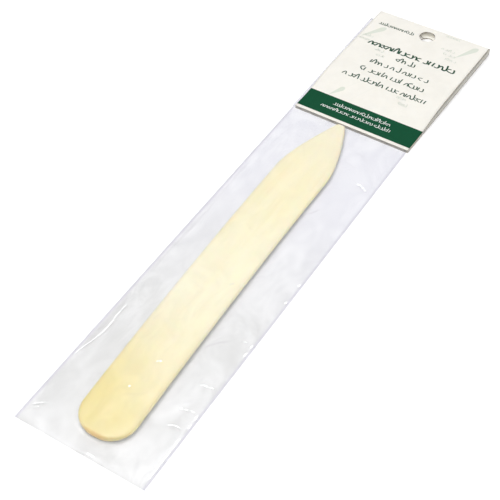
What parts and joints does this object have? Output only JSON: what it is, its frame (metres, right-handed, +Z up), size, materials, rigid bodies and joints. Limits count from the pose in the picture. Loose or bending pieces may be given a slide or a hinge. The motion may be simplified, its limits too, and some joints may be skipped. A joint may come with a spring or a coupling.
{
  "type": "bone folder in a retail pack",
  "caption": "Flat bone creasing tool with one round and one pointed end, loose in a clear film bag closed by a folded card header with a hang hole.",
  "frame": {"origin": "centre of the whole pack's footprint, on the surface that it lies on", "axes": "+Y along the pack from the bag's bottom weld to the header card's fold, +Z up out of the card's printed face, +X across"},
  "size_m": [0.053, 0.2354, 0.0035],
  "materials": {
    "bone": "satin, lightly polished natural bone",
    "clear_film": "clear glossy film with soft creases",
    "printed_board": "uncoated cream board printed with a green band and plain rules",
    "plain_board": "uncoated cream board",
    "clear_tape": "translucent double-sided tape"
  },
  "bodies": {
    "pack": {"header_back_panel": "plain_board", "back_tape_strip": "clear_tape", "bag_back_film": "clear_film", "bag_front_film": "clear_film"},
    "folder": {"bone_folder": "bone"},
    "front_flap": {"header_front_panel": "printed_board", "front_tape_strip": "clear_tape"}
  },
  "joints": [
    {"name": "folder_slide", "type": "slide", "parent": "pack", "child": "folder", "axis": [-0.0227, 0.9997, 0], "range_m": [-0.0025, 0]},
    {"name": "flap_hinge", "type": "hinge", "parent": "pack", "child": "front_flap", "pos_m": [0.00151, 0.11708, 0.00175], "axis": [-0.9996, 0.0265, 0], "range_deg": [0, 175]}
  ]
}
